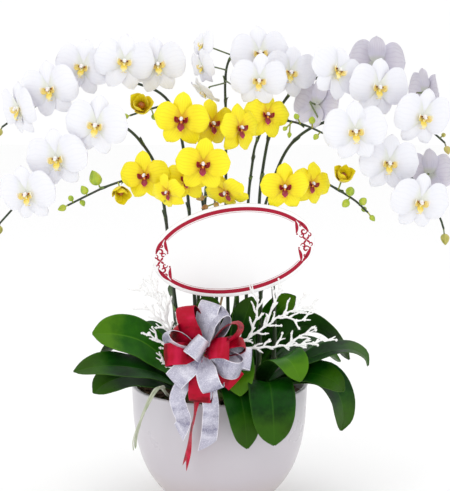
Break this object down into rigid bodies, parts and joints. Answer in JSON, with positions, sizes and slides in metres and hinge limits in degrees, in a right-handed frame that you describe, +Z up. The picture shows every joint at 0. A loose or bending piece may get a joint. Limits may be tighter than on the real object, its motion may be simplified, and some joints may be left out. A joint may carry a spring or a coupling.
{
  "type": "potted orchid",
  "caption": "Arching sprays of white and yellow moth orchids over strap leaves in a round glazed bowl, with a blank oval card, painted twigs and a ribbon bow.",
  "frame": {"origin": "middle of the bowl's flat foot, on the surface that it stands on", "axes": "+Z up; -Y is the front, where the card and the bow face; +X is to the right seen from the front"},
  "size_m": [0.7641, 0.4225, 0.8347],
  "materials": {
    "glazed_bowl": "satin white glaze with a faint lilac cast",
    "bark": "damp chipped bark with moss",
    "leaf": "thick living leaf, waxy gloss, dark green",
    "stem": "living stem and buds, satin, dark green",
    "white_petal": "living petal, soft matt white, yellow lip",
    "yellow_petal": "living petal, soft satin yellow, crimson lip",
    "card": "stiff coated card, white, with a crimson printed band",
    "stake": "plain dowel",
    "red_ribbon": "crimson satin ribbon",
    "silver_ribbon": "silver lame ribbon with a fine glitter weave",
    "painted_twig": "dry twigs coated in matt white paint"
  },
  "bodies": {
    "root": {"bowl": "glazed_bowl", "potting_bark": "bark", "leaves_front_left": "leaf", "leaves_back_left": "leaf", "leaves_front_right": "leaf", "leaves_back_right": "leaf", "leaves_centre": "leaf", "white_spike_left_low": "stem", "white_spike_left_high": "stem", "white_spike_centre": "stem", "white_spike_right_high": "stem", "white_spike_right_low": "stem", "yellow_spike_left_high": "stem", "yellow_spike_left_low": "stem", "yellow_spike_centre": "stem", "yellow_spike_right_high": "stem", "yellow_spike_right_low": "stem", "white_flower_01": "white_petal", "white_flower_02": "white_petal", "white_flower_03": "white_petal", "white_flower_04": "white_petal", "white_flower_05": "white_petal", "white_flower_06": "white_petal", "white_flower_07": "white_petal", "white_flower_08": "white_petal", "white_flower_09": "white_petal", "white_flower_10": "white_petal", "white_flower_11": "white_petal", "white_flower_12": "white_petal", "white_flower_13": "white_petal", "white_flower_14": "white_petal", "white_flower_15": "white_petal", "white_flower_16": "white_petal", "white_flower_17": "white_petal", "white_flower_18": "white_petal", "white_flower_19": "white_petal", "white_flower_20": "white_petal", "white_flower_21": "white_petal", "white_flower_22": "white_petal", "white_flower_23": "white_petal", "white_flower_24": "white_petal", "yellow_flower_01": "yellow_petal", "yellow_flower_02": "yellow_petal", "yellow_flower_03": "yellow_petal", "yellow_flower_04": "yellow_petal", "yellow_flower_05": "yellow_petal", "yellow_flower_06": "yellow_petal", "yellow_flower_07": "yellow_petal", "yellow_flower_08": "yellow_petal", "yellow_flower_09": "yellow_petal", "yellow_flower_10": "yellow_petal", "yellow_flower_11": "yellow_petal", "greeting_card": "card", "card_stake": "stake", "ribbon_bow": "red_ribbon", "ribbon_tail_red": "red_ribbon", "ribbon_tail_left": "silver_ribbon", "ribbon_tail_right": "silver_ribbon", "white_twigs_left": "painted_twig", "white_twigs_right": "painted_twig"}
  },
  "joints": []
}
